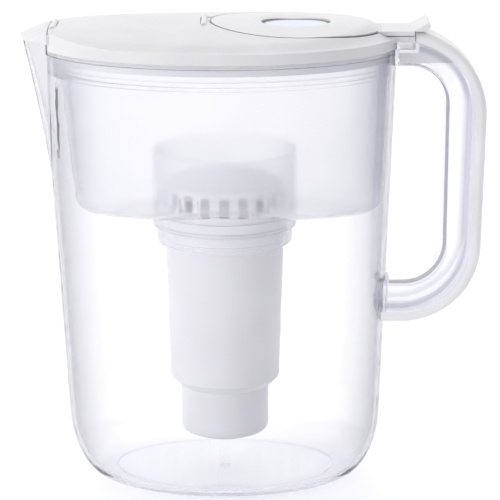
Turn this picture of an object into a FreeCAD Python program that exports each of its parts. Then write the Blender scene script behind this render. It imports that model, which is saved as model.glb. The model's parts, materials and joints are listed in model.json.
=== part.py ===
import FreeCAD, Part
import math
import os

from FreeCAD import Vector

# Water filter pitcher. Sizes are in millimetres and +Z is up.
# The origin lies on the resting face, under the axis of the filter cartridge.
# +X points to the handle, the beak is at -X, and the pitcher mirrors across Y = 0.

# Jug: an oval cup that widens upwards and leans a little towards the beak
base_half_length = 89.5
base_half_width = 57.0
rim_half_length = 101.8
rim_half_width = 69.2
rim_shift = 2.8
rim_height = 253.5
jug_wall = 2.8
jug_floor = 3.6
end_corner_run = 20.0
end_corner_rise = 38.0
side_corner_run = 8.0
side_corner_rise = 16.0

# Beak: drawn out of the front wall, narrow at the lip
beak_start_height = 148.0
beak_lip_height = 259.5
beak_reach = 10.6
beak_curve = 1.6
beak_root_depth = 1.6
beak_lip_radius = 7.0
beak_root_radius = 30.0
beak_back_share = 0.8
beak_width_share = 0.57

# Handle: a loop in side view, with a clear channel inside and a cover strip outside
handle_half_width = 13.5
handle_reach = 151.7
handle_lower_reach = 147.5
handle_top = 266.8
handle_bottom = 94.4
handle_upper_bend = 50.0
handle_lower_bend = 45.8
handle_edge_radius = 4.0
finger_top = 245.5
finger_bottom = 119.5
finger_reach = 127.2
finger_lower_reach = 126.2
finger_upper_bend = 21.0
finger_lower_bend = 23.0
spine_thickness = 6.4
spine_fit = 0.1
channel_wall = 2.2
anchor_bottom = 247.5
anchor_fit = 0.2
weld_gap = 0.1

# Reservoir: a hopper that hangs in the jug's mouth by its flange
flange_thickness = 2.5
flange_inset = 0.4
reservoir_wall = 2.0
reservoir_side_gap = 2.0
reservoir_bottom = 158.5
reservoir_end_radius = 10.0
reservoir_side_radius = 38.0
reservoir_front_bottom = 85.4
reservoir_front_top = 93.8
band_bottom = 241.0
band_gap = 0.6
band_front = 99.4
guard_radius = 41.0
guard_wall = 2.0
guard_top = 195.6
guard_notch_sill = 4.0
guard_notch_height = 9.0
guard_notch_width = 12.0
guard_notch_count = 6
collar_radius = 41.4
collar_step_radius = 38.6
collar_top = 167.0
collar_step_height = 152.0
collar_bottom = 142.0
socket_ledge_thickness = 3.0

# Filter cartridge
cartridge_foot_radius = 25.4
cartridge_low_radius = 31.6
cartridge_neck_radius = 34.2
cartridge_flange_radius = 35.7
cartridge_bottom = 26.0
cartridge_foot_top = 54.5
cartridge_shoulder_top = 60.0
cartridge_flange_height = 13.0
cartridge_wall = 1.8
cartridge_foot_rounding = 5.0
cartridge_fit = 0.5
outlet_radius = 2.0
outlet_ring_radius = 14.0
outlet_count = 10
seal_height = 3.0
seal_depth = 1.4
seal_squeeze_gap = 0.1
cap_radius = 34.5
cap_side_height = 18.0
cap_dome_rise = 9.5
cap_slot_count = 20
cap_slot_width = 5.6
cap_slot_height = 11.0
cap_spigot_height = 4.0
screen_thickness = 0.8
divider_thickness = 2.0
divider_height = 98.0
media_fit = 0.2

# Lid: a crowned oval cover
lid_wall = 2.4
lid_shoulder_height = 262.3
lid_crest_height = 270.6
lid_crest_x = 15.0
lid_length_drop = 2.0
lid_side_drop = 7.0
lid_front_reach = 119.2
lid_shoulder_share = 0.17
lid_skirt_depth = 7.0
lid_skirt_wall = 1.8
lid_skirt_fit = 0.6
tongue_end = 108.4
tongue_top = 263.2
tongue_half_width = 14.5
tongue_floor_thickness = 3.4

# Hinges of the flap and the hatch
hinge_drop = 1.1
knuckle_radius = 1.9
hinge_pin_radius = 0.8
pin_clearance = 0.05
knuckle_clearance = 0.35
hatch_knuckle_half_width = 12.0
flap_knuckle_half_width = 9.0
ear_width = 3.8
ear_end_wall = 0.8

# Spout flap
flap_seam = 99.6
seam_gap = 0.6
flap_overhang = 1.2
flap_wall = 2.2
flap_axis_offset = 2.1

# Fill hatch with its strap and thumb tab
hatch_centre = 41.0
hatch_half_length = 50.0
hatch_half_width = 45.0
hatch_wall = 2.4
ledge_width = 6.0
ledge_thickness = 2.2
ledge_margin = 2.2
ledge_gap = 0.3
hatch_axis_offset = 2.5
strap_half_width = 15.0
strap_thickness = 2.5
strap_start = 80.0
strap_end = 108.3
tab_clearance = 0.5
tab_length = 9.0
tab_rise = 5.0
tab_lip_rise = 3.2
tab_lip_length = 1.4
dish_radius = 24.5
dish_depth = 2.2
boss_margin = 2.5
boss_depth = 5.2

# Filter indicator in the hatch
window_half_length = 18.4
window_half_width = 12.0
bezel_width = 1.5
bezel_lip = 0.35
bezel_height = 2.8
window_fit = 0.3
button_height = 2.3
button_travel = 0.8
pod_half_length = 25.0
pod_half_width = 17.5
pod_wall = 1.7
pod_height = 8.6
board_thickness = 1.2
board_fit = 0.25
shelf_width = 2.0
shelf_height = 1.0
switch_side = 6.0
switch_height = 2.2
plunger_radius = 1.7
plunger_height = 0.5
led_length = 3.2
led_width = 2.0
led_height = 1.2
led_offset = 11.0
cell_radius = 10.0
cell_height = 3.2
contact_thickness = 0.3
contact_gap = 0.1
contact_radius = 7.0
clip_thickness = 0.4
clip_gap = 0.2
clip_span = 140.0
cover_height = 1.4
gasket_width = 1.0
gasket_height = 0.8
screw_offset = 19.0
screw_radius = 1.1
screw_head_radius = 2.0
screw_head_height = 0.8
screw_length = 5.0
screw_boss_radius = 2.6
screw_fit = 0.1
screw_slot_width = 0.6

# Shared values
seat_gap = 0.1
overrun = 20.0
corner_steps = 8
beak_steps = 6
field_columns = 41
field_rows = 31
same_place = 0.01

lid_bottom = rim_height + flange_thickness + seat_gap
lid_ceiling = lid_crest_height + overrun
ledge_drop = hatch_wall + ledge_gap
strap_top = tongue_top + tab_clearance + strap_thickness
socket_ledge_top = collar_bottom + socket_ledge_thickness
reservoir_floor = reservoir_bottom + reservoir_wall
cap_bottom = socket_ledge_top + seat_gap + cartridge_flange_height + seat_gap
button_rest_gap = button_travel + seat_gap


# Shape helpers


def blended(start, end, share):
    return start + (end - start) * share


def oval_wire(centre, half_length, half_width, z):
    middle = Vector(centre, 0, z)
    end = middle + Vector(half_length, 0, 0)
    side = middle + Vector(0, half_width, 0)
    long_axis, short_axis = (end, side) if half_length > half_width else (side, end)
    return Part.Wire(Part.Ellipse(long_axis, short_axis, middle).toShape())


def oval_prism(centre, half_length, half_width, bottom, top):
    face = Part.Face(oval_wire(centre, half_length, half_width, bottom))
    return face.extrude(Vector(0, 0, top - bottom))


def oval_stack(oval, heights):
    return Part.makeLoft([oval_wire(*oval(z), z) for z in heights], True, True)


def corner_inset(corner, height):
    """How far a rounded lower corner, given as its run and rise, stands in at a height."""
    run, rise = corner
    share_left = max(0, 1 - height / rise)
    return run * (1 - math.sqrt(1 - share_left**2))


def cup(oval, bottom, top, end_corner, side_corner):
    """Oval cup with one lower corner at its ends and another along its sides."""
    wires = []
    corner_rise = max(end_corner[1], side_corner[1])
    for step in range(corner_steps + 1):
        height = corner_rise * (1 - math.cos(math.pi / 2 * step / corner_steps))
        centre, half_length, half_width = oval(bottom + height)
        half_length -= corner_inset(end_corner, height)
        half_width -= corner_inset(side_corner, height)
        wires.append(oval_wire(centre, half_length, half_width, bottom + height))
    wall = Part.makeLoft([wires[-1], oval_wire(*oval(top), top)], True, True)
    return Part.makeLoft(wires, True).fuse(wall)


def block(x_low, x_high, half_width, z_low, z_high):
    size = (x_high - x_low, 2 * half_width, z_high - z_low)
    return Part.makeBox(*size, Vector(x_low, -half_width, z_low))


def cylinder(radius, bottom, top, x=0, y=0):
    return Part.makeCylinder(radius, top - bottom, Vector(x, y, bottom))


def cross_rod(radius, x, z, y_low, y_high):
    return Part.makeCylinder(radius, y_high - y_low, Vector(x, y_low, z), Vector(0, 1, 0))


def turned(profile):
    points = [Vector(radius, 0, z) for radius, z in profile]
    face = Part.Face(Part.makePolygon(points + points[:1]))
    return face.revolve(Vector(), Vector(0, 0, 1), 360)


def rounded_outline(corners):
    """Closed side-view outline through (x, z, radius) corners, joined by tangent arcs."""
    edges = []
    starts = []
    count = len(corners)
    arcs = []
    for index, (x, z, radius) in enumerate(corners):
        here = Vector(x, 0, z)
        back = (Vector(corners[index - 1][0], 0, corners[index - 1][1]) - here).normalize()
        ahead_corner = corners[(index + 1) % count]
        ahead = (Vector(ahead_corner[0], 0, ahead_corner[1]) - here).normalize()
        half_turn = back.getAngle(ahead) / 2
        reach = radius / math.tan(half_turn)
        middle = (back + ahead).normalize() * (radius / math.sin(half_turn) - radius)
        starts.append(here + back * reach)
        arcs.append((here + back * reach, here + middle, here + ahead * reach))
    for index, (enter, middle, leave) in enumerate(arcs):
        if corners[index][2] > 0:
            edges.append(Part.Arc(enter, middle, leave).toShape())
        edges.append(Part.makeLine(leave, starts[(index + 1) % count]))
    return Part.Wire(edges)


def side_bar(corners, half_width):
    face = Part.Face(rounded_outline(corners))
    bar = face.extrude(Vector(0, 2 * half_width, 0))
    bar.translate(Vector(0, -half_width, 0))
    return bar


def pill(centre, half_length, half_width, bottom, top):
    """Upright prism with straight sides and round ends."""
    straight = half_length - half_width
    ends = []
    for side in (-1, 1):
        ends.append(cylinder(half_width, bottom, top, centre + side * straight))
    middle = block(centre - straight, centre + straight, half_width, bottom, top)
    return middle.fuse(ends).removeSplitter()


def ring_of(shape, count):
    copies = []
    for index in range(count):
        copy = shape.copy()
        copy.rotate(Vector(), Vector(0, 0, 1), 360 * index / count)
        copies.append(copy)
    return copies


# Jug and beak


def jug_oval(z, inset=0):
    share = z / rim_height
    half_length = blended(base_half_length, rim_half_length, share) - inset
    half_width = blended(base_half_width, rim_half_width, share) - inset
    return -rim_shift * share, half_length, half_width


def jug_front(z):
    centre, half_length, _ = jug_oval(z)
    return centre - half_length


def jug_cup(inset, bottom, top):
    end_corner = (end_corner_run - inset, end_corner_rise - bottom)
    side_corner = (side_corner_run - inset, side_corner_rise - bottom)
    return cup(lambda z: jug_oval(z, inset), bottom, top, end_corner, side_corner)


def beak_tip(z):
    share = (z - beak_start_height) / (beak_lip_height - beak_start_height)
    return jug_front(z) + beak_root_depth - (beak_reach + beak_root_depth) * share**beak_curve


def beak_section(z, inset):
    """Rounded point in plan, with its straight flanks running back into the oval."""
    share = (z - beak_start_height) / (beak_lip_height - beak_start_height)
    radius = blended(beak_root_radius, beak_lip_radius, share) - inset
    tip = beak_tip(z) + inset
    centre, half_length, half_width = jug_oval(z)
    back = Vector(centre - beak_back_share * half_length, half_width * beak_width_share - inset, z)
    eye = Vector(tip + radius, 0, z)
    span = back - eye
    turn = math.atan2(span.y, span.x) + math.acos(radius / span.Length)
    touch = eye + Vector(math.cos(turn), math.sin(turn), 0) * radius
    mirror = Vector(touch.x, -touch.y, z)
    back_mirror = Vector(back.x, -back.y, z)
    edges = [
        Part.makeLine(back, touch),
        Part.Arc(touch, Vector(tip, 0, z), mirror).toShape(),
        Part.makeLine(mirror, back_mirror),
        Part.makeLine(back_mirror, back),
    ]
    return Part.Wire(edges)


def beak_solid(inset, top):
    wires = []
    for step in range(beak_steps + 1):
        wires.append(beak_section(blended(beak_start_height, top, step / beak_steps), inset))
    return Part.makeLoft(wires, True)


def make_jug():
    outside = jug_cup(0, 0, rim_height).fuse(beak_solid(0, beak_lip_height))
    inside = jug_cup(jug_wall, jug_floor, rim_height + overrun)
    channel = beak_solid(jug_wall, beak_lip_height + overrun)
    above_rim = block(-flap_seam - seam_gap, rim_half_length + overrun, rim_half_width + overrun,
                      rim_height, rim_height + overrun)
    return outside.cut([inside, channel, above_rim])


# Handle


def handle_outline(inset):
    return [
        (0, handle_bottom + inset, 0),
        (handle_lower_reach - inset, handle_bottom + inset, handle_lower_bend - inset),
        (handle_reach - inset, handle_top - inset, handle_upper_bend - inset),
        (0, handle_top - inset, 0),
    ]


def finger_outline(inset):
    return [
        (0, finger_bottom - inset, 0),
        (finger_lower_reach + inset, finger_bottom - inset, finger_lower_bend + inset),
        (finger_reach + inset, finger_top + inset, finger_upper_bend + inset),
        (0, finger_top + inset, 0),
    ]


def jug_keep_out(gap):
    """The jug's outside, grown by a gap, which trims the handle's roots."""
    return oval_stack(lambda z: jug_oval(z, -gap), (0, rim_height + overrun))


def handle_loop():
    loop = side_bar(handle_outline(0), handle_half_width)
    loop = loop.cut(side_bar(finger_outline(0), handle_half_width + overrun))
    rounded = []
    for edge in loop.Edges:
        on_side = min(abs(abs(v.Point.y) - handle_half_width) for v in edge.Vertexes) < same_place
        flat = edge.BoundBox.YLength < same_place
        if on_side and flat and edge.BoundBox.XMax > 0:
            rounded.append(edge)
    loop = loop.makeFillet(handle_edge_radius, rounded)
    notch_floor = lid_bottom - tab_clearance
    notch_end = tongue_end + tab_clearance
    notch = block(-overrun, notch_end, handle_half_width + overrun, notch_floor, lid_ceiling)
    step_end = tongue_end + tab_length
    step = block(-overrun, step_end, handle_half_width + overrun, strap_top - tab_clearance, lid_ceiling)
    return loop.cut([notch, step])


def channel_space(fit):
    """The hollow of the handle's channel, drawn in by a fit on every side."""
    wall = channel_wall + fit
    space = side_bar(handle_outline(spine_thickness + fit), handle_half_width - wall)
    fingers = side_bar(finger_outline(wall), handle_half_width + overrun)
    notch_roof = lid_bottom - tab_clearance - wall
    notch_x = tongue_end + tab_clearance + wall
    above = block(-overrun, notch_x, handle_half_width + overrun, notch_roof, lid_ceiling)
    return space.cut([fingers, above, jug_keep_out(wall)])


def make_handle_spine():
    core = side_bar(handle_outline(spine_thickness), handle_half_width + overrun)
    return handle_loop().cut([core, jug_keep_out(weld_gap)])


def make_handle_frame():
    core = side_bar(handle_outline(spine_thickness + spine_fit), handle_half_width + overrun)
    return handle_loop().common(core).cut([channel_space(0), jug_keep_out(weld_gap)])


def make_handle_anchor():
    zone = block(0, handle_reach, handle_half_width, anchor_bottom, handle_top)
    return channel_space(anchor_fit).common(zone)


# Reservoir


def reservoir_oval(z, inset=0):
    share = (z - reservoir_bottom) / (band_bottom - reservoir_bottom)
    front = -blended(reservoir_front_bottom, reservoir_front_top, share)
    centre, half_length, half_width = jug_oval(z, jug_wall + reservoir_side_gap)
    rear = centre + half_length
    return (front + rear) / 2, (rear - front) / 2 - inset, half_width - inset


def band_oval(inset=0):
    centre, half_length, half_width = jug_oval(band_bottom, jug_wall + band_gap)
    rear = centre + half_length
    return (rear - band_front) / 2, (rear + band_front) / 2 - inset, half_width - inset


def reservoir_flange():
    centre, half_length, half_width = jug_oval(rim_height, flange_inset)
    flange = oval_prism(centre, half_length, half_width, rim_height + seat_gap, rim_height + flange_thickness)
    front = -band_front - flange_inset
    beyond = block(front - overrun, front, rim_half_width, 0, lid_ceiling)
    return flange.cut(beyond)


def hopper_cup(inset, bottom, top):
    end_corner = (reservoir_end_radius - inset, reservoir_end_radius - inset)
    side_corner = (reservoir_side_radius - inset, reservoir_side_radius - inset)
    return cup(lambda z: reservoir_oval(z, inset), bottom, top, end_corner, side_corner)


def reservoir_socket():
    """Stepped collar under the hopper's floor and the slotted guard tube above it."""
    guard = cylinder(guard_radius, collar_step_height, guard_top)
    guard = guard.cut(cylinder(guard_radius - guard_wall, collar_top, guard_top + overrun))
    collar = cylinder(collar_radius, collar_step_height, collar_top)
    collar_step = cylinder(collar_step_radius, collar_bottom, collar_top)
    notch_bottom = reservoir_floor + guard_notch_sill
    notch_top = notch_bottom + guard_notch_height
    notch = block(0, guard_radius + overrun, guard_notch_width / 2, notch_bottom, notch_top)
    return guard.fuse([collar, collar_step]).cut(ring_of(notch, guard_notch_count))


def make_reservoir():
    flange_top = rim_height + flange_thickness
    hopper = hopper_cup(0, reservoir_bottom, band_bottom + reservoir_wall)
    band = oval_prism(*band_oval(), band_bottom, flange_top)
    hollow = hopper_cup(reservoir_wall, reservoir_floor, flange_top + overrun)
    mouth = oval_prism(*band_oval(reservoir_wall), band_bottom + reservoir_wall, flange_top + overrun)
    body = hopper.fuse([band, reservoir_flange()]).cut([hollow, mouth])
    bore = cylinder(cartridge_flange_radius + cartridge_fit, socket_ledge_top, guard_top + overrun)
    throat = cylinder(cartridge_neck_radius + cartridge_fit, collar_bottom - overrun, guard_top)
    return body.cut(bore).fuse(reservoir_socket().cut([bore, throat]))


# Cartridge


def cartridge_inner_radius(z):
    share = (z - cartridge_shoulder_top) / (collar_bottom - cartridge_shoulder_top)
    return blended(cartridge_low_radius, cartridge_neck_radius, share) - cartridge_wall


def make_cartridge_body():
    flange_bottom = socket_ledge_top + seat_gap
    flange_top = flange_bottom + cartridge_flange_height
    foot_inner = cartridge_foot_radius - cartridge_wall
    floor = cartridge_bottom + cartridge_wall
    outside = turned([
        (0, cartridge_bottom),
        (cartridge_foot_radius, cartridge_bottom),
        (cartridge_foot_radius, cartridge_foot_top),
        (cartridge_low_radius, cartridge_shoulder_top),
        (cartridge_neck_radius, collar_bottom),
        (cartridge_neck_radius, flange_bottom),
        (cartridge_flange_radius, flange_bottom),
        (cartridge_flange_radius, flange_top),
        (0, flange_top),
    ])
    low_edge = [edge for edge in outside.Edges if edge.BoundBox.ZMax < cartridge_foot_top
                and edge.BoundBox.XLength > cartridge_foot_radius]
    outside = outside.makeFillet(cartridge_foot_rounding, low_edge[:1])
    inside = turned([
        (0, floor),
        (foot_inner, floor),
        (foot_inner, cartridge_foot_top + cartridge_wall),
        (cartridge_inner_radius(cartridge_shoulder_top), cartridge_shoulder_top + cartridge_wall),
        (cartridge_inner_radius(collar_bottom), collar_bottom),
        (cartridge_inner_radius(collar_bottom), flange_top + overrun),
        (0, flange_top + overrun),
    ])
    outlet = cylinder(outlet_radius, 0, floor + seat_gap, outlet_ring_radius)
    return outside.cut([inside, seal_groove()] + ring_of(outlet, outlet_count))


def seal_bottom():
    return socket_ledge_top + seat_gap + (cartridge_flange_height - seal_height) / 2


def seal_groove():
    groove = cylinder(cartridge_flange_radius + overrun, seal_bottom(), seal_bottom() + seal_height)
    return groove.cut(cylinder(cartridge_flange_radius - seal_depth, 0, lid_ceiling))


def make_cartridge_seal():
    low = seal_bottom() + seal_squeeze_gap
    high = seal_bottom() + seal_height - seal_squeeze_gap
    outer = cartridge_flange_radius + cartridge_fit - seal_squeeze_gap
    inner = cartridge_flange_radius - seal_depth + seal_squeeze_gap
    ring = cylinder(outer, low, high).cut(cylinder(inner, 0, lid_ceiling))
    rims = [edge for edge in ring.Edges if edge.BoundBox.XLength > 2 * cartridge_flange_radius]
    rims = [edge for edge in rims if edge.BoundBox.ZLength < seal_squeeze_gap]
    return ring.makeFillet((outer - inner) / 3, rims)


def make_cartridge_cap():
    spigot_radius = cartridge_inner_radius(collar_bottom) - media_fit
    side_top = cap_bottom + cap_side_height
    dome_radius = (cap_radius**2 + cap_dome_rise**2) / (2 * cap_dome_rise)
    dome_centre = Vector(0, 0, side_top + cap_dome_rise - dome_radius)
    top = side_top + cap_dome_rise + overrun
    outside = cylinder(cap_radius, cap_bottom, top).common(Part.makeSphere(dome_radius, dome_centre))
    inside = cylinder(cap_radius - cartridge_wall, cap_bottom, top)
    inside = inside.common(Part.makeSphere(dome_radius - cartridge_wall, dome_centre))
    spigot = cylinder(spigot_radius, cap_bottom - cap_spigot_height, cap_bottom + cartridge_wall)
    bore = cylinder(spigot_radius - cartridge_wall, 0, cap_bottom + cartridge_wall)
    slot_bottom = cap_bottom + cartridge_wall + (cap_side_height - cartridge_wall - cap_slot_height) / 2
    slot = block(0, cap_radius + overrun, cap_slot_width / 2, slot_bottom, slot_bottom + cap_slot_height)
    shell = outside.cut(inside).cut(ring_of(slot, cap_slot_count))
    rim = cylinder(cap_radius, cap_bottom, cap_bottom + cartridge_wall)
    return shell.fuse([rim, spigot]).cut(bore)


def bed(bottom, top):
    """Tapered bed of granules that fills the cartridge between two heights."""
    return turned([
        (0, bottom),
        (cartridge_inner_radius(bottom) - media_fit, bottom),
        (cartridge_inner_radius(top) - media_fit, top),
        (0, top),
    ])


def make_inlet_screen():
    top = cap_bottom - cap_spigot_height - seat_gap
    return cylinder(cartridge_inner_radius(collar_bottom) - media_fit, top - screen_thickness, top)


def make_carbon_media():
    bottom = divider_height + divider_thickness + seat_gap
    top = cap_bottom - cap_spigot_height - seat_gap - screen_thickness - seat_gap
    lower = bed(bottom, collar_bottom)
    radius = cartridge_inner_radius(collar_bottom) - media_fit
    return lower.fuse(cylinder(radius, collar_bottom, top)).removeSplitter()


def make_media_divider():
    return bed(divider_height, divider_height + divider_thickness)


def make_resin_media():
    floor = cartridge_bottom + cartridge_wall + seat_gap + screen_thickness + seat_gap
    radius = cartridge_foot_radius - cartridge_wall - media_fit
    shoulder = cartridge_shoulder_top + cartridge_wall + media_fit
    foot = cylinder(radius, floor, shoulder)
    return foot.fuse(bed(shoulder, divider_height - seat_gap)).removeSplitter()


def make_outlet_screen():
    floor = cartridge_bottom + cartridge_wall + seat_gap
    return cylinder(cartridge_foot_radius - cartridge_wall - media_fit, floor, floor + screen_thickness)


# Lid


def lid_height(x, y):
    """Height of the lid's outside: a crowned deck that falls in a soft step to the shoulder."""
    centre = -rim_shift
    reach = lid_front_reach if x < centre else rim_half_length
    edge = math.hypot((x - centre) / reach, y / rim_half_width)
    fall = min(1, max(0, (1 - edge) / lid_shoulder_share))
    length_drop = lid_length_drop * ((x - lid_crest_x) / rim_half_length) ** 2
    dome = lid_crest_height - length_drop - lid_side_drop * (y / rim_half_width) ** 2
    return blended(lid_shoulder_height, dome, fall * fall * (3 - 2 * fall))


def make_lid_field():
    """Solid below the lid's outside, deep enough to trim every piece of the lid."""
    margin = flap_overhang + lid_wall
    low = -rim_shift - lid_front_reach - margin
    high = -rim_shift + rim_half_length + margin
    side = rim_half_width + margin
    grid = []
    for column in range(field_columns):
        x = blended(low, high, column / (field_columns - 1))
        across = [blended(-side, side, row / (field_rows - 1)) for row in range(field_rows)]
        grid.append([Vector(x, y, lid_height(x, y)) for y in across])
    surface = Part.BSplineSurface()
    surface.interpolate(grid)
    return surface.toShape().extrude(Vector(0, 0, lid_bottom - lid_ceiling))


lid_field = make_lid_field()


def under_lid(drop):
    return lid_field.translated(Vector(0, 0, -drop))


def lid_oval(inset):
    return -rim_shift, rim_half_length - inset, rim_half_width - inset


def hatch_prism(inset):
    return oval_prism(hatch_centre, hatch_half_length - inset, hatch_half_width - inset,
                      lid_bottom - overrun, lid_ceiling)


def hatch_axis():
    x = hatch_centre - hatch_half_length - hatch_axis_offset
    return x, lid_height(x, 0) - hinge_drop


def flap_axis():
    x = -flap_seam + flap_axis_offset
    return x, lid_height(x, 0) - hinge_drop


def hinge_rods(axis, radius, half_width):
    return cross_rod(radius, *axis, -half_width, half_width)


def knuckle_notch(axis, half_width, low_x, high_x):
    x, z = axis
    room = knuckle_radius + knuckle_clearance
    return block(x - low_x, x + high_x, half_width + knuckle_clearance, z - room, lid_ceiling)


def hinge_ears(axis, half_width):
    inner = half_width + knuckle_clearance
    ears = []
    for low in (-inner - ear_width, inner):
        ears.append(cross_rod(knuckle_radius, *axis, low, low + ear_width))
    return ears


def pin_half_length(half_width):
    return half_width + knuckle_clearance + ear_width - ear_end_wall


def make_hinge_pin(axis, half_width):
    return hinge_rods(axis, hinge_pin_radius, pin_half_length(half_width))


def pin_hole(axis, half_width):
    return hinge_rods(axis, hinge_pin_radius + pin_clearance, pin_half_length(half_width) + pin_clearance)


def lid_skirt():
    skirt_bottom = rim_height + flange_thickness - lid_skirt_depth
    outer = oval_prism(*band_oval(reservoir_wall + lid_skirt_fit), skirt_bottom, lid_ceiling)
    inner = oval_prism(*band_oval(reservoir_wall + lid_skirt_fit + lid_skirt_wall), 0, lid_ceiling)
    return outer.cut(inner).common(under_lid(lid_wall / 2))


def lid_ledge():
    ledge = hatch_prism(-ledge_margin).cut(hatch_prism(ledge_width))
    return ledge.common(under_lid(lid_wall / 2)).cut(under_lid(ledge_drop + ledge_thickness))


def lid_tongue():
    throat_end = hatch_centre + hatch_half_length - ledge_width
    rim_end = rim_half_length - rim_shift - lid_wall
    bottom = tongue_top - tongue_floor_thickness
    floor = block(throat_end, rim_end, tongue_half_width + lid_wall, bottom, tongue_top)
    return floor.fuse(block(rim_end, tongue_end, tongue_half_width, bottom, tongue_top))


def make_lid():
    shell = oval_prism(*lid_oval(0), lid_bottom, lid_ceiling).common(lid_field)
    hollow = oval_prism(*lid_oval(lid_wall), lid_bottom - overrun, lid_ceiling).common(under_lid(lid_wall))
    body = shell.cut(hollow).fuse([lid_skirt(), lid_ledge(), lid_tongue()])
    room = knuckle_radius + knuckle_clearance
    beyond_seam = block(-lid_front_reach - overrun, -flap_seam, rim_half_width, 0, lid_ceiling)
    pocket = hatch_prism(0).cut(under_lid(ledge_drop))
    strap_channel = block(strap_start - seam_gap, tongue_end + overrun, strap_half_width + seam_gap,
                          tongue_top, lid_ceiling)
    hatch_notch = knuckle_notch(hatch_axis(), hatch_knuckle_half_width, room, room + hatch_axis_offset)
    flap_notch = knuckle_notch(flap_axis(), flap_knuckle_half_width, room + flap_axis_offset, room)
    body = body.cut([beyond_seam, pocket, strap_channel, hatch_notch, flap_notch])
    ears = []
    holes = []
    knuckles = ((hatch_axis(), hatch_knuckle_half_width), (flap_axis(), flap_knuckle_half_width))
    for axis, half_width in knuckles:
        ears.extend(hinge_ears(axis, half_width))
        holes.append(pin_hole(axis, half_width))
    return body.fuse(ears).cut(holes)


# Spout flap


def flap_prism(inset, bottom):
    """Plan of the flap: the beak's lip with an overhang, as far back as the lid's end."""
    lip = beak_section(beak_lip_height, inset - flap_overhang)
    lip.translate(Vector(0, 0, bottom - beak_lip_height))
    plan = Part.Face(lip).extrude(Vector(0, 0, lid_ceiling - bottom))
    seam = -flap_seam - seam_gap
    return plan.common(block(-lid_front_reach - overrun, seam, rim_half_width, 0, lid_ceiling))


def make_spout_flap():
    x, z = flap_axis()
    bottom = beak_lip_height + knuckle_clearance
    outside = flap_prism(0, bottom).common(lid_field)
    hollow = flap_prism(flap_wall, bottom - overrun).common(under_lid(flap_wall))
    hollow = hollow.fuse(hollow.translated(Vector(flap_wall, 0, 0)))
    knuckle = hinge_rods(flap_axis(), knuckle_radius, flap_knuckle_half_width)
    web_start = -flap_seam - seam_gap - flap_wall
    web = block(web_start, x, flap_knuckle_half_width, z - flap_wall / 2, z + hinge_drop / 2)
    body = outside.cut(hollow).fuse([knuckle, web])
    return body.cut(pin_hole(flap_axis(), flap_knuckle_half_width))


# Fill hatch


def dish_floor():
    return lid_height(hatch_centre, 0) - dish_depth


def boss_bottom():
    return lid_height(hatch_centre, 0) - boss_depth


def dish_ball():
    radius = (dish_radius**2 + dish_depth**2) / (2 * dish_depth)
    return Part.makeSphere(radius, Vector(hatch_centre, 0, dish_floor() + radius))


def strap_and_tab():
    strap = block(strap_start, strap_end, strap_half_width, strap_top - strap_thickness, strap_top)
    tip_x = tongue_end + tab_length
    tab = side_bar([
        (strap_end - strap_thickness, strap_top - strap_thickness, 0),
        (strap_end, strap_top - strap_thickness, 0),
        (strap_end, strap_top, 0),
        (tip_x - tab_lip_length - tab_clearance, strap_top, 0),
        (tip_x, strap_top + tab_lip_rise, 0),
        (tip_x - tab_lip_length, strap_top + tab_rise, 0),
        (strap_end - strap_thickness / 2, strap_top, 0),
        (strap_end - strap_thickness, strap_top, 0),
    ], strap_half_width)
    return [strap, tab]


def make_fill_hatch():
    x, z = hatch_axis()
    plate = hatch_prism(seam_gap).common(lid_field).cut(under_lid(hatch_wall))
    boss_radius = dish_radius + boss_margin
    boss = cylinder(boss_radius, boss_bottom(), lid_ceiling, hatch_centre).common(under_lid(hatch_wall / 2))
    knuckle = hinge_rods(hatch_axis(), knuckle_radius, hatch_knuckle_half_width)
    web_end = x + 2 * hatch_axis_offset
    web = block(x, web_end, hatch_knuckle_half_width, z - hatch_wall / 2, z + hinge_drop / 2)
    body = plate.fuse([boss, knuckle, web] + strap_and_tab())
    frame_half_length = window_half_length + bezel_width
    frame_half_width = window_half_width + bezel_width
    opening = pill(hatch_centre, frame_half_length + seat_gap, frame_half_width + seat_gap, 0, lid_ceiling)
    return body.cut([dish_ball(), opening, pin_hole(hatch_axis(), hatch_knuckle_half_width)])


# Filter indicator


def make_indicator_bezel():
    top = dish_floor() + bezel_lip
    frame_half_length = window_half_length + bezel_width
    frame_half_width = window_half_width + bezel_width
    frame = pill(hatch_centre, frame_half_length, frame_half_width, top - bezel_height, top)
    return frame.cut(pill(hatch_centre, window_half_length, window_half_width, 0, lid_ceiling))


def button_bottom():
    return dish_floor() + bezel_lip - button_height


def make_indicator_button():
    half_length = window_half_length - window_fit
    half_width = window_half_width - window_fit
    return pill(hatch_centre, half_length, half_width, button_bottom(), dish_floor() + bezel_lip)


def pod_bottom():
    return boss_bottom() - seat_gap - pod_height


def board_top():
    return button_bottom() - button_rest_gap - plunger_height - switch_height


def board_bottom():
    return board_top() - board_thickness


def pod_pill(inset, bottom, top):
    return pill(hatch_centre, pod_half_length - inset, pod_half_width - inset, bottom, top)


def screw_places():
    return [hatch_centre - screw_offset, hatch_centre + screw_offset]


def make_indicator_housing():
    bottom = pod_bottom()
    outside = pod_pill(0, bottom, boss_bottom() - seat_gap)
    upper = pod_pill(pod_wall, board_bottom() - seat_gap, lid_ceiling)
    lower = pod_pill(pod_wall + shelf_width, 0, lid_ceiling)
    cavity = pod_pill(pod_wall, 0, board_bottom() - seat_gap - shelf_height)
    body = outside.cut([upper, lower, cavity])
    shelf_bottom = board_bottom() - seat_gap - shelf_height
    bosses = [cylinder(screw_boss_radius, bottom, shelf_bottom + shelf_height, x) for x in screw_places()]
    holes = [cylinder(screw_radius + screw_fit, 0, shelf_bottom, x) for x in screw_places()]
    gasket = pod_pill(pod_wall / 2 - gasket_width / 2, 0, bottom + gasket_height / 2)
    gasket = gasket.cut(pod_pill(pod_wall / 2 + gasket_width / 2, 0, lid_ceiling))
    return body.fuse(bosses).cut(holes + [gasket])


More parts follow.
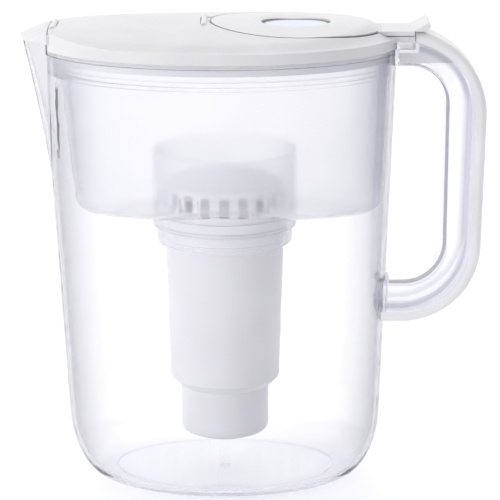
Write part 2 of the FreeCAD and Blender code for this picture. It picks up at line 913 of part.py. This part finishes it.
def make_indicator_board():
    return pod_pill(pod_wall + board_fit, board_bottom(), board_top())


def make_reset_switch():
    half = switch_side / 2
    body = block(hatch_centre - half, hatch_centre + half, half, board_top(), board_top() + switch_height)
    top = board_top() + switch_height + plunger_height
    return body.fuse(cylinder(plunger_radius, board_top(), top, hatch_centre))


def make_status_led():
    low = hatch_centre + led_offset - led_length / 2
    return block(low, low + led_length, led_width / 2, board_top(), board_top() + led_height)


def make_battery_contact():
    top = board_bottom() - contact_gap
    return cylinder(contact_radius, top - contact_thickness, top, hatch_centre)


def cell_top():
    return board_bottom() - contact_gap - contact_thickness - contact_gap


def make_coin_cell():
    cell = cylinder(cell_radius, cell_top() - cell_height, cell_top(), hatch_centre)
    rims = [edge for edge in cell.Edges if edge.BoundBox.ZLength < seat_gap]
    return cell.makeFillet(contact_thickness, rims)


def make_battery_clip():
    inner = cell_radius + clip_gap
    top = board_bottom() - contact_gap
    clip = cylinder(inner + clip_thickness, cell_top() - cell_height, top, hatch_centre)
    clip = clip.cut(cylinder(inner, 0, lid_ceiling, hatch_centre))
    middle = Vector(hatch_centre, 0, 0)
    up = Vector(0, 0, 1)
    sector = Part.makeCylinder(inner + overrun, lid_ceiling, middle, up, clip_span)
    sector.rotate(middle, up, (180 - clip_span) / 2)
    return clip.common(sector)


def cover_top():
    return pod_bottom() - seat_gap


def make_battery_cover():
    bottom = cover_top() - cover_height
    cover = pod_pill(0, bottom, cover_top())
    holes = []
    for x in screw_places():
        holes.append(cylinder(screw_radius + screw_fit, 0, lid_ceiling, x))
        holes.append(cylinder(screw_head_radius + screw_fit, 0, bottom + screw_head_height + screw_fit, x))
    gasket = pod_pill(pod_wall / 2 - gasket_width / 2, cover_top() - gasket_height / 2, lid_ceiling)
    gasket = gasket.cut(pod_pill(pod_wall / 2 + gasket_width / 2, 0, lid_ceiling))
    return cover.cut(holes + [gasket])


def make_cover_gasket():
    fit = seat_gap / 2
    low = cover_top() - gasket_height / 2 + fit
    high = pod_bottom() + gasket_height / 2 - fit
    ring = pod_pill(pod_wall / 2 - gasket_width / 2 + fit, low, high)
    return ring.cut(pod_pill(pod_wall / 2 + gasket_width / 2 - fit, 0, lid_ceiling))


def make_cover_screws():
    bottom = cover_top() - cover_height
    screws = []
    for x in screw_places():
        head = cylinder(screw_head_radius, bottom, bottom + screw_head_height, x)
        screw = head.fuse(cylinder(screw_radius, bottom, bottom + screw_length, x))
        slot = block(x - screw_head_radius, x + screw_head_radius, screw_slot_width / 2,
                     bottom, bottom + screw_head_height / 2)
        screws.append(screw.cut(slot))
    return Part.makeCompound(screws)


def make_parts():
    return {
        "jug": make_jug(),
        "handle_frame": make_handle_frame(),
        "handle_spine": make_handle_spine(),
        "handle_anchor": make_handle_anchor(),
        "reservoir": make_reservoir(),
        "cartridge_body": make_cartridge_body(),
        "cartridge_cap": make_cartridge_cap(),
        "cartridge_seal": make_cartridge_seal(),
        "inlet_screen": make_inlet_screen(),
        "carbon_media": make_carbon_media(),
        "media_divider": make_media_divider(),
        "resin_media": make_resin_media(),
        "outlet_screen": make_outlet_screen(),
        "lid": make_lid(),
        "flap_pin": make_hinge_pin(flap_axis(), flap_knuckle_half_width),
        "hatch_pin": make_hinge_pin(hatch_axis(), hatch_knuckle_half_width),
        "spout_flap": make_spout_flap(),
        "fill_hatch": make_fill_hatch(),
        "indicator_bezel": make_indicator_bezel(),
        "indicator_button": make_indicator_button(),
        "indicator_housing": make_indicator_housing(),
        "indicator_board": make_indicator_board(),
        "reset_switch": make_reset_switch(),
        "status_led": make_status_led(),
        "coin_cell": make_coin_cell(),
        "battery_contact": make_battery_contact(),
        "battery_clip": make_battery_clip(),
        "battery_cover": make_battery_cover(),
        "cover_gasket": make_cover_gasket(),
        "cover_screws": make_cover_screws(),
    }


os.makedirs("parts", exist_ok=True)
for name, shape in make_parts().items():
    shape.exportStep("parts/" + name + ".step")
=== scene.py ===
import json
import math

import bpy
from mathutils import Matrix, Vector


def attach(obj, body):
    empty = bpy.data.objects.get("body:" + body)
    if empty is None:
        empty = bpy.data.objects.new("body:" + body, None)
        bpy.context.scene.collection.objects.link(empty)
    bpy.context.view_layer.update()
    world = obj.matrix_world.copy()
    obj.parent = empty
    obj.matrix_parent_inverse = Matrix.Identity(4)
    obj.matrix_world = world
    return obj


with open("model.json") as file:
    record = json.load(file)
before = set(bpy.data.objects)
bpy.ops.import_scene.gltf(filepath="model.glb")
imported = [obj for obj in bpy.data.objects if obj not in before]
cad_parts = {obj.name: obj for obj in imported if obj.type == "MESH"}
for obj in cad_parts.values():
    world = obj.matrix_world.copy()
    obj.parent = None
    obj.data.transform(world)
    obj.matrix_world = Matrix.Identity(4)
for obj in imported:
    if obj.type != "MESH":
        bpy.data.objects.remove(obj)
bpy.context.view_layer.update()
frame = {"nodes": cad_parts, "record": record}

nodes = frame["nodes"]

# Camera, from the photograph's view along +Y, a little above the lid
CAMERA_PLACE = Vector((0.0147, -1.5, 0.517))
CAMERA_AIM = Vector((0.0147, 0.0, 0.1347))
CAMERA_LENS = 190.7
SENSOR_WIDTH = 36.0

# Stage
FLOOR_SIZE = 30.0
FLOOR_LOW = (0.94, 0.94, 0.94, 1)
FLOOR_HIGH = (0.95, 0.95, 0.95, 1)
FLOOR_GLOW = 0.08
EXPOSURE = 0.25
LIGHT_BOUNCES = 32

# Sky in front of the object, beside it and behind it, as shares of the way from front to back
SKY_STOPS = [
    (0.0, (0.62, 0.62, 0.65, 1)),
    (0.45, (0.28, 0.28, 0.32, 1)),
    (0.85, (1.0, 1.0, 1.0, 1)),
]
SKY_STRENGTH = 1.0

# Area lights: name, place, aim, width, height and power
LIGHTS = (
    ("overhead", (0.0, 0.8, 2.5), (0.0, 0.8, 0.0), 5.0, 5.0, 39.0),
    ("front_left", (-1.9, -1.2, 0.7), (0.0, 0.0, 0.1), 1.4, 1.4, 20.0),
)

# Clear plastic: its index, the lavender that long ways through it take on, and the painted shade of its
# upright walls, darker from facing to grazing, which stands in for the dark lines at their edges
CLEAR_IOR = 1.49
CLEAR_TINT = (0.62, 0.6, 0.82, 1)
CLEAR_DENSITY = 5.0
STRONG_PAINTED_EDGE_SHADE = [
    (0.0, (1.0, 1.0, 1.0, 1)),
    (0.2, (0.97, 0.97, 0.975, 1)),
    (0.38, (0.78, 0.78, 0.8, 1)),
    (0.6, (0.58, 0.58, 0.61, 1)),
    (0.8, (0.42, 0.42, 0.45, 1)),
    (1.0, (0.26, 0.26, 0.28, 1)),
]
PALE_PAINTED_EDGE_SHADE = [
    (0.0, (1.0, 1.0, 1.0, 1)),
    (1.0, (0.82, 0.82, 0.87, 1)),
]
SOFT_PAINTED_EDGE_SHADE = [
    (0.0, (1.0, 1.0, 1.0, 1)),
    (0.3, (0.97, 0.97, 0.98, 1)),
    (0.6, (0.84, 0.84, 0.89, 1)),
    (1.0, (0.6, 0.6, 0.66, 1)),
]
SHADOW_TINT = (0.97, 0.97, 0.98, 1)

# Outline of the handle's loop, and the painted shade along the fold inside its cover strip, by depth as a
# share of the bend
LOOP_LOW = 0.0944
LOOP_HIGH = 0.2668
LOOP_REACH = 0.1475
LOOP_LEAN = 0.0244
LOOP_BEND = 0.048
FOLD_PAINTED_SHADE = [
    (0.17, (0.94, 0.94, 0.96, 1)),
    (0.19, (0.7, 0.7, 0.76, 1)),
    (0.225, (0.76, 0.76, 0.82, 1)),
    (0.265, (1.0, 1.0, 1.0, 1)),
]

# Outline of the fill hatch, and the painted shadow in its seam, which ends at the strap
HATCH_CENTRE = 0.041
HATCH_HALF_LENGTH = 0.0494
HATCH_HALF_WIDTH = 0.0444
STRAP_START = 0.0872
SEAM_PAINTED_SHADOW = (0.16, 0.16, 0.17, 1)
SEAM_PAINTED_SHADOW_SHARES = [(0.978, (0, 0, 0, 1)), (0.988, (1, 1, 1, 1)), (1.0, (1, 1, 1, 1))]
SEAM_REACH = 1.004

# Moulded plastic: scales of its mottle, sheen and grain, depth of the grain, and how far the sheen
# falls below and rises above its roughness
MOTTLE_SCALE = 30.0
SHEEN_SCALE = 300.0
GRAIN_SCALE = 2200.0
GRAIN_DEPTH = 0.00008
SHEEN_FALL = 0.05
SHEEN_RISE = 0.08

# Shades of the beds, the window and the circuit board
CARBON_SHADES = [(0.3, (0.006, 0.006, 0.006, 1)), (0.7, (0.03, 0.03, 0.03, 1))]
RESIN_SHADES = [(0.3, (0.5, 0.33, 0.09, 1)), (0.7, (0.7, 0.52, 0.2, 1))]
WINDOW_SHADES = [(0.3, (0.5, 0.56, 0.68, 1)), (0.7, (0.58, 0.64, 0.75, 1))]
BOARD_SHADES = [(0.25, (0.02, 0.16, 0.06, 1)), (0.5, (0.04, 0.26, 0.1, 1))]
BOARD_SCALE = 420.0

# Fine beads of the mouldings: name, body, centre, half length, half width, underside and radius
BEADS = (
    ("floor_bead", "pitcher", 0.0, 0.064, 0.046, 0.0036, 0.0005),
    ("gate_mark", "pitcher", 0.0, 0.0026, 0.0026, 0.0036, 0.0005),
    ("band_bead", "hopper", -0.0021, 0.0949, 0.0628, 0.2457, 0.0003),
)
BEAD_STEPS = 128
BEAD_SIDES = 8


class Material:
    """A node material that is built up call by call."""

    def __init__(self, name):
        self.material = bpy.data.materials.new(name)
        self.material.use_nodes = True
        self.tree = self.material.node_tree
        self.shader = self.tree.nodes["Principled BSDF"]
        self.output = self.tree.nodes["Material Output"]
        self.place = self.tree.nodes.new("ShaderNodeTexCoord").outputs["Object"]

    def set(self, **values):
        for name, value in values.items():
            self.shader.inputs[name.replace("_", " ")].default_value = value

    def node(self, kind, **values):
        made = self.tree.nodes.new("ShaderNode" + kind)
        for name, value in values.items():
            made.inputs[name.replace("_", " ")].default_value = value
        return made

    def link(self, source, target):
        self.tree.links.new(source, target)

    def noise(self, scale, detail=3.0, roughness=0.5):
        made = self.node("TexNoise", Scale=scale, Detail=detail, Roughness=roughness)
        self.link(self.place, made.inputs["Vector"])
        return made.outputs["Fac"]

    def cells(self, scale):
        made = self.node("TexVoronoi", Scale=scale)
        self.link(self.place, made.inputs["Vector"])
        return made.outputs["Distance"]

    def ramp(self, factor, stops):
        made = self.tree.nodes.new("ShaderNodeValToRGB")
        elements = made.color_ramp.elements
        while len(elements) < len(stops):
            elements.new(0.5)
        for element, (position, colour) in zip(elements, stops):
            element.position = position
            element.color = colour
        self.link(factor, made.inputs["Fac"])
        return made.outputs["Color"]

    def span(self, factor, low, high):
        made = self.node("MapRange", To_Min=low, To_Max=high)
        self.link(factor, made.inputs["Value"])
        return made.outputs["Result"]

    def colour(self, factor, stops):
        self.link(self.ramp(factor, stops), self.shader.inputs["Base Color"])

    def rough(self, factor, low, high):
        self.link(self.span(factor, low, high), self.shader.inputs["Roughness"])

    def let_light_by(self, tint):
        """Shadow and diffuse rays pass straight through, as light does through a thin clear wall."""
        path = self.tree.nodes.new("ShaderNodeLightPath")
        either = self.math("MAXIMUM", path.outputs["Is Shadow Ray"], path.outputs["Is Diffuse Ray"])
        through = self.node("BsdfTransparent", Color=tint)
        mix = self.tree.nodes.new("ShaderNodeMixShader")
        self.link(either, mix.inputs["Fac"])
        self.link(self.shader.outputs["BSDF"], mix.inputs[1])
        self.link(through.outputs["BSDF"], mix.inputs[2])
        self.link(mix.outputs["Shader"], self.output.inputs["Surface"])

    def math(self, operation, first, second):
        made = self.tree.nodes.new("ShaderNodeMath")
        made.operation = operation
        for socket, source in zip(made.inputs, (first, second)):
            if isinstance(source, float):
                socket.default_value = source
            else:
                self.link(source, socket)
        return made.outputs["Value"]

    def upright_grazing(self):
        """How edge-on an upright wall is seen, and nothing on level faces."""
        facing = self.tree.nodes.new("ShaderNodeLayerWeight").outputs["Facing"]
        split = self.tree.nodes.new("ShaderNodeSeparateXYZ")
        self.link(self.tree.nodes.new("ShaderNodeNewGeometry").outputs["Normal"], split.inputs["Vector"])
        level = self.math("POWER", split.outputs["Z"], 2.0)
        return self.math("MULTIPLY", facing, self.math("SUBTRACT", 1.0, level))

    def oval_share(self, centre, half_length, half_width):
        """How far out a point lies in an oval, as a share of the oval's own reach."""
        shift = (-centre / half_length, 0, 0)
        stretch = (1 / half_length, 1 / half_width, 0)
        scaled = self.node("Mapping", Location=shift, Scale=stretch)
        self.link(self.place, scaled.inputs["Vector"])
        length = self.tree.nodes.new("ShaderNodeVectorMath")
        length.operation = "LENGTH"
        self.link(scaled.outputs["Vector"], length.inputs[0])
        return length.outputs["Value"]

    def along(self, axis):
        split = self.tree.nodes.new("ShaderNodeSeparateXYZ")
        self.link(self.place, split.inputs["Vector"])
        return split.outputs[axis]

    def loop_depth(self):
        """How deep a point lies inside the handle's outline, as a share of its bend."""
        above = self.math("SUBTRACT", self.along("Z"), LOOP_LOW)
        below = self.math("SUBTRACT", LOOP_HIGH, self.along("Z"))
        edge = self.math("ADD", self.math("MULTIPLY", above, LOOP_LEAN), LOOP_REACH)
        from_side = self.math("SUBTRACT", edge, self.along("X"))
        from_ends = self.math("MINIMUM", above, below)
        short_squares = []
        for depth in (from_side, from_ends):
            short = self.math("MAXIMUM", self.math("SUBTRACT", LOOP_BEND, depth), 0.0)
            short_squares.append(self.math("POWER", short, 2.0))
        out = self.math("POWER", self.math("ADD", *short_squares), 0.5)
        return self.math("SUBTRACT", 1.0, self.math("DIVIDE", out, LOOP_BEND))

    def multiply(self, first, second):
        made = self.node("MixRGB", Fac=1.0)
        made.blend_type = "MULTIPLY"
        self.link(first, made.inputs["Color1"])
        self.link(second, made.inputs["Color2"])
        return made.outputs["Color"]

    def bump(self, factor, strength, distance):
        made = self.node("Bump", Strength=strength, Distance=distance)
        self.link(factor, made.inputs["Height"])
        self.link(made.outputs["Normal"], self.shader.inputs["Normal"])


def grey(level, tint=0.0):
    """A grey with a little lavender in it."""
    return (level * (1 - 0.5 * tint), level * (1 - tint), level, 1)


def clear_plastic(name, clarity, roughness, painted_edge_shade, painted_fold_shade=None):
    """Clear moulding that tints long ways through it and lets most light by into its shadow, with painted
    shade darkening its upright walls towards grazing and, where given, painted shade along the handle's
    fold.
    """
    made = Material(name)
    made.set(Transmission_Weight=clarity, IOR=CLEAR_IOR)
    # Painted shade: the base colour darkens on upright walls seen towards grazing
    tint = made.ramp(made.upright_grazing(), painted_edge_shade)
    # Painted shade: a darker lavender-grey stripe along the fold inside the handle's cover strip
    if painted_fold_shade:
        tint = made.multiply(tint, made.ramp(made.loop_depth(), painted_fold_shade))
    made.link(tint, made.shader.inputs["Base Color"])
    made.rough(made.noise(60.0), roughness * 0.5, roughness * 1.5)
    made.bump(made.noise(14.0, 1.0), 0.05, 0.0006)
    absorption = made.node("VolumeAbsorption", Color=CLEAR_TINT, Density=CLEAR_DENSITY)
    made.link(absorption.outputs["Volume"], made.output.inputs["Volume"])
    made.let_light_by(SHADOW_TINT)
    return made.material


def mould_surface(made, roughness, grain):
    made.rough(made.noise(SHEEN_SCALE), roughness - SHEEN_FALL, roughness + SHEEN_RISE)
    made.bump(made.noise(GRAIN_SCALE, 2.0), grain, GRAIN_DEPTH)


def moulded_plastic(name, low, high, roughness, grain):
    made = Material(name)
    made.set(IOR=1.5, Subsurface_Weight=0.15, Subsurface_Radius=(0.004, 0.004, 0.005), Subsurface_Scale=0.5)
    made.colour(made.noise(MOTTLE_SCALE), [(0.35, low), (0.65, high)])
    mould_surface(made, roughness, grain)
    return made.material


def hatch_plastic_painted_seam_shadow(name, low, high, roughness, grain):
    """The lid's plastic, with a painted shadow that lies in the seam round the hatch."""
    made = Material(name)
    made.set(IOR=1.5)
    share = made.oval_share(HATCH_CENTRE, HATCH_HALF_LENGTH, HATCH_HALF_WIDTH)
    # Painted shadow: a dark line in the seam round the hatch, stopping at the strap
    seam_shadow_ramp = made.ramp(share, SEAM_PAINTED_SHADOW_SHARES)
    before_strap = made.math("LESS_THAN", made.along("X"), STRAP_START)
    within_seam = made.math("LESS_THAN", share, SEAM_REACH)
    painted_shadow_share = made.math("MULTIPLY", seam_shadow_ramp, made.math("MULTIPLY", before_strap, within_seam))
    plain = made.ramp(made.noise(MOTTLE_SCALE), [(0.35, low), (0.65, high)])
    blend = made.node("MixRGB", Color2=SEAM_PAINTED_SHADOW)
    made.link(painted_shadow_share, blend.inputs["Fac"])
    made.link(plain, blend.inputs["Color1"])
    made.link(blend.outputs["Color"], made.shader.inputs["Base Color"])
    mould_surface(made, roughness, grain)
    return made.material


def rubber(name, low, high):
    made = Material(name)
    made.set(IOR=1.42)
    made.colour(made.noise(120.0), [(0.3, low), (0.7, high)])
    made.rough(made.noise(400.0), 0.5, 0.7)
    made.bump(made.noise(900.0), 0.2, 0.0001)
    return made.material


def granules(name, scale, stops, roughness):
    made = Material(name)
    distance = made.cells(scale)
    made.colour(made.noise(scale * 0.7), stops)
    made.rough(distance, roughness - 0.1, roughness + 0.1)
    made.bump(distance, 1.0, 0.0006)
    return made.material


def woven(name, low, high, scale):
    made = Material(name)
    waves = []
    for direction in ("X", "Y"):
        wave = made.node("TexWave", Scale=scale, Distortion=0.3)
        wave.bands_direction = direction
        made.link(made.place, wave.inputs["Vector"])
        waves.append(wave.outputs["Fac"])
    weave = made.math("MULTIPLY", *waves)
    made.colour(weave, [(0.1, low), (0.8, high)])
    made.rough(weave, 0.6, 0.8)
    made.bump(weave, 0.6, 0.0003)
    return made.material


def metal(name, low, high):
    made = Material(name)
    made.set(Metallic=1.0)
    made.colour(made.noise(80.0), [(0.3, low), (0.7, high)])
    made.rough(made.noise(500.0), 0.2, 0.36)
    made.bump(made.noise(1500.0, 2.0), 0.1, 0.00005)
    return made.material


def glossy_window(name):
    made = Material(name)
    made.set(IOR=1.49, Coat_Weight=0.3, Coat_Roughness=0.05)
    made.colour(made.noise(40.0), WINDOW_SHADES)
    made.rough(made.noise(200.0), 0.06, 0.16)
    made.bump(made.noise(25.0, 1.0), 0.05, 0.0002)
    return made.material


def circuit_board(name):
    made = Material(name)
    made.colour(made.cells(BOARD_SCALE), BOARD_SHADES)
    made.rough(made.noise(300.0), 0.3, 0.45)
    made.bump(made.cells(BOARD_SCALE), 0.3, 0.0001)
    return made.material


MATERIALS = {
    "clear_plastic": clear_plastic("clear_plastic", 1.0, 0.01, STRONG_PAINTED_EDGE_SHADE),
    # The handle's plastic carries a painted shade along the fold inside its cover strip
    "handle_plastic": clear_plastic("handle_plastic", 0.86, 0.04, PALE_PAINTED_EDGE_SHADE, FOLD_PAINTED_SHADE),
    "hazy_plastic": clear_plastic("hazy_plastic", 0.88, 0.17, SOFT_PAINTED_EDGE_SHADE),
    "frosted_plastic": moulded_plastic("frosted_plastic", grey(0.74, 0.01), grey(0.8, 0.01), 0.3, 0.05),
    "grey_plastic": moulded_plastic("grey_plastic", grey(0.56, 0.02), grey(0.62, 0.02), 0.45, 0.15),
    "dark_trim": moulded_plastic("dark_trim", grey(0.15, 0.02), grey(0.19, 0.02), 0.4, 0.1),
    "white_plastic": moulded_plastic("white_plastic", grey(0.65, 0.005), grey(0.69, 0.005), 0.32, 0.06),
    # The hatch's plastic carries a painted shadow in the seam round the hatch
    "hatch_plastic_painted_seam_shadow": hatch_plastic_painted_seam_shadow("hatch_plastic_painted_seam_shadow", grey(0.67, 0.005), grey(0.71, 0.005), 0.32, 0.06),
    "cartridge_white": moulded_plastic("cartridge_white", grey(0.71, 0.015), grey(0.75, 0.015), 0.38, 0.1),
    "seal_rubber": rubber("seal_rubber", grey(0.6), grey(0.7)),
    "carbon": granules("carbon", 700.0, CARBON_SHADES, 0.6),
    "resin": granules("resin", 900.0, RESIN_SHADES, 0.35),
    "screen_mesh": woven("screen_mesh", grey(0.7), grey(0.88), 600.0),
    "felt": woven("felt", grey(0.6), grey(0.75), 250.0),
    "window": glossy_window("window"),
    "steel": metal("steel", grey(0.55), grey(0.66)),
    "board": circuit_board("board"),
    "led_lens": glossy_window("led_lens"),
    "black_plastic": moulded_plastic("black_plastic", grey(0.02), grey(0.03), 0.4, 0.1),
}

# Pieces whose finish differs from their slot's: the handle and the hopper are hazier than the jug, the
# handle carries a painted shade along its fold, the hatch carries a painted shadow in its seam, and the
# ring around the window is darker than the handle's block
FINISH_OF_NODE = {
    "handle_frame": "handle_plastic",
    "reservoir": "hazy_plastic",
    "fill_hatch": "hatch_plastic_painted_seam_shadow",
    "indicator_bezel": "dark_trim",
}


def dress_nodes():
    for entry in frame["record"]["subparts"]:
        finish = FINISH_OF_NODE.get(entry["node"], entry["material_slot"])
        data = nodes[entry["node"]].data
        data.materials.clear()
        data.materials.append(MATERIALS[finish])


def bead_mesh(name, centre, half_length, half_width, underside, radius):
    """A closed tube that runs round an oval."""
    points = []
    faces = []
    for step in range(BEAD_STEPS):
        turn = math.tau * step / BEAD_STEPS
        after = (step + 1) % BEAD_STEPS * BEAD_SIDES
        here = step * BEAD_SIDES
        for side in range(BEAD_SIDES):
            angle = math.tau * side / BEAD_SIDES
            out = radius * math.cos(angle)
            x = centre + (half_length + out) * math.cos(turn)
            y = (half_width + out) * math.sin(turn)
            points.append((x, y, underside + radius * (1 + math.sin(angle))))
            beside = (side + 1) % BEAD_SIDES
            faces.append((here + side, after + side, after + beside, here + beside))
    mesh = bpy.data.meshes.new(name)
    mesh.from_pydata(points, [], faces)
    mesh.shade_smooth()
    return mesh


def add_beads():
    for name, body, *sizes in BEADS:
        bead = bpy.data.objects.new(name, bead_mesh(name, *sizes))
        bead.data.materials.append(MATERIALS["clear_plastic"])
        bpy.context.collection.objects.link(bead)
        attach(bead, body)


def add_floor():
    bpy.ops.mesh.primitive_plane_add(size=FLOOR_SIZE)
    floor = bpy.context.object
    floor.name = "studio_floor"
    made = Material("studio_floor")
    made.set(Specular_IOR_Level=0.2, Emission_Color=FLOOR_HIGH, Emission_Strength=FLOOR_GLOW)
    made.colour(made.noise(3.0), [(0.4, FLOOR_LOW), (0.6, FLOOR_HIGH)])
    made.rough(made.noise(20.0), 0.5, 0.6)
    floor.data.materials.append(made.material)


def add_light(name, place, aim, width, height, power):
    data = bpy.data.lights.new(name, "AREA")
    data.shape = "RECTANGLE"
    data.size = width
    data.size_y = height
    data.energy = power
    lamp = bpy.data.objects.new(name, data)
    lamp.location = place
    lamp.rotation_euler = (Vector(aim) - Vector(place)).to_track_quat("-Z", "Y").to_euler()
    lamp.visible_glossy = False
    lamp.visible_transmission = False
    bpy.context.collection.objects.link(lamp)


def add_world():
    """Bright behind the object and dim beside and in front of it, which draws the clear walls' edges."""
    world = bpy.data.worlds.new("studio")
    world.use_nodes = True
    tree = world.node_tree
    place = tree.nodes.new("ShaderNodeTexCoord")
    split = tree.nodes.new("ShaderNodeSeparateXYZ")
    tree.links.new(place.outputs["Generated"], split.inputs["Vector"])
    depth = tree.nodes.new("ShaderNodeValToRGB")
    elements = depth.color_ramp.elements
    elements.new(0.5)
    for element, (position, colour) in zip(elements, SKY_STOPS):
        element.position = position
        element.color = colour
    share = tree.nodes.new("ShaderNodeMapRange")
    share.inputs["From Min"].default_value = -1
    tree.links.new(split.outputs["Y"], share.inputs["Value"])
    tree.links.new(share.outputs["Result"], depth.inputs["Fac"])
    back = tree.nodes["Background"]
    back.inputs["Strength"].default_value = SKY_STRENGTH
    tree.links.new(depth.outputs["Color"], back.inputs["Color"])
    bpy.context.scene.world = world


def set_rendering():
    scene = bpy.context.scene
    scene.view_settings.view_transform = "Standard"
    scene.view_settings.exposure = EXPOSURE
    scene.cycles.max_bounces = LIGHT_BOUNCES
    scene.cycles.transmission_bounces = LIGHT_BOUNCES
    scene.cycles.transparent_max_bounces = LIGHT_BOUNCES


def add_camera():
    data = bpy.data.cameras.new("camera")
    data.lens = CAMERA_LENS
    data.sensor_width = SENSOR_WIDTH
    camera = bpy.data.objects.new("camera", data)
    camera.location = CAMERA_PLACE
    camera.rotation_euler = (CAMERA_AIM - CAMERA_PLACE).to_track_quat("-Z", "Y").to_euler()
    bpy.context.collection.objects.link(camera)
    bpy.context.scene.camera = camera


dress_nodes()
add_beads()
add_floor()
add_world()
for light in LIGHTS:
    add_light(*light)
add_camera()
set_rendering()
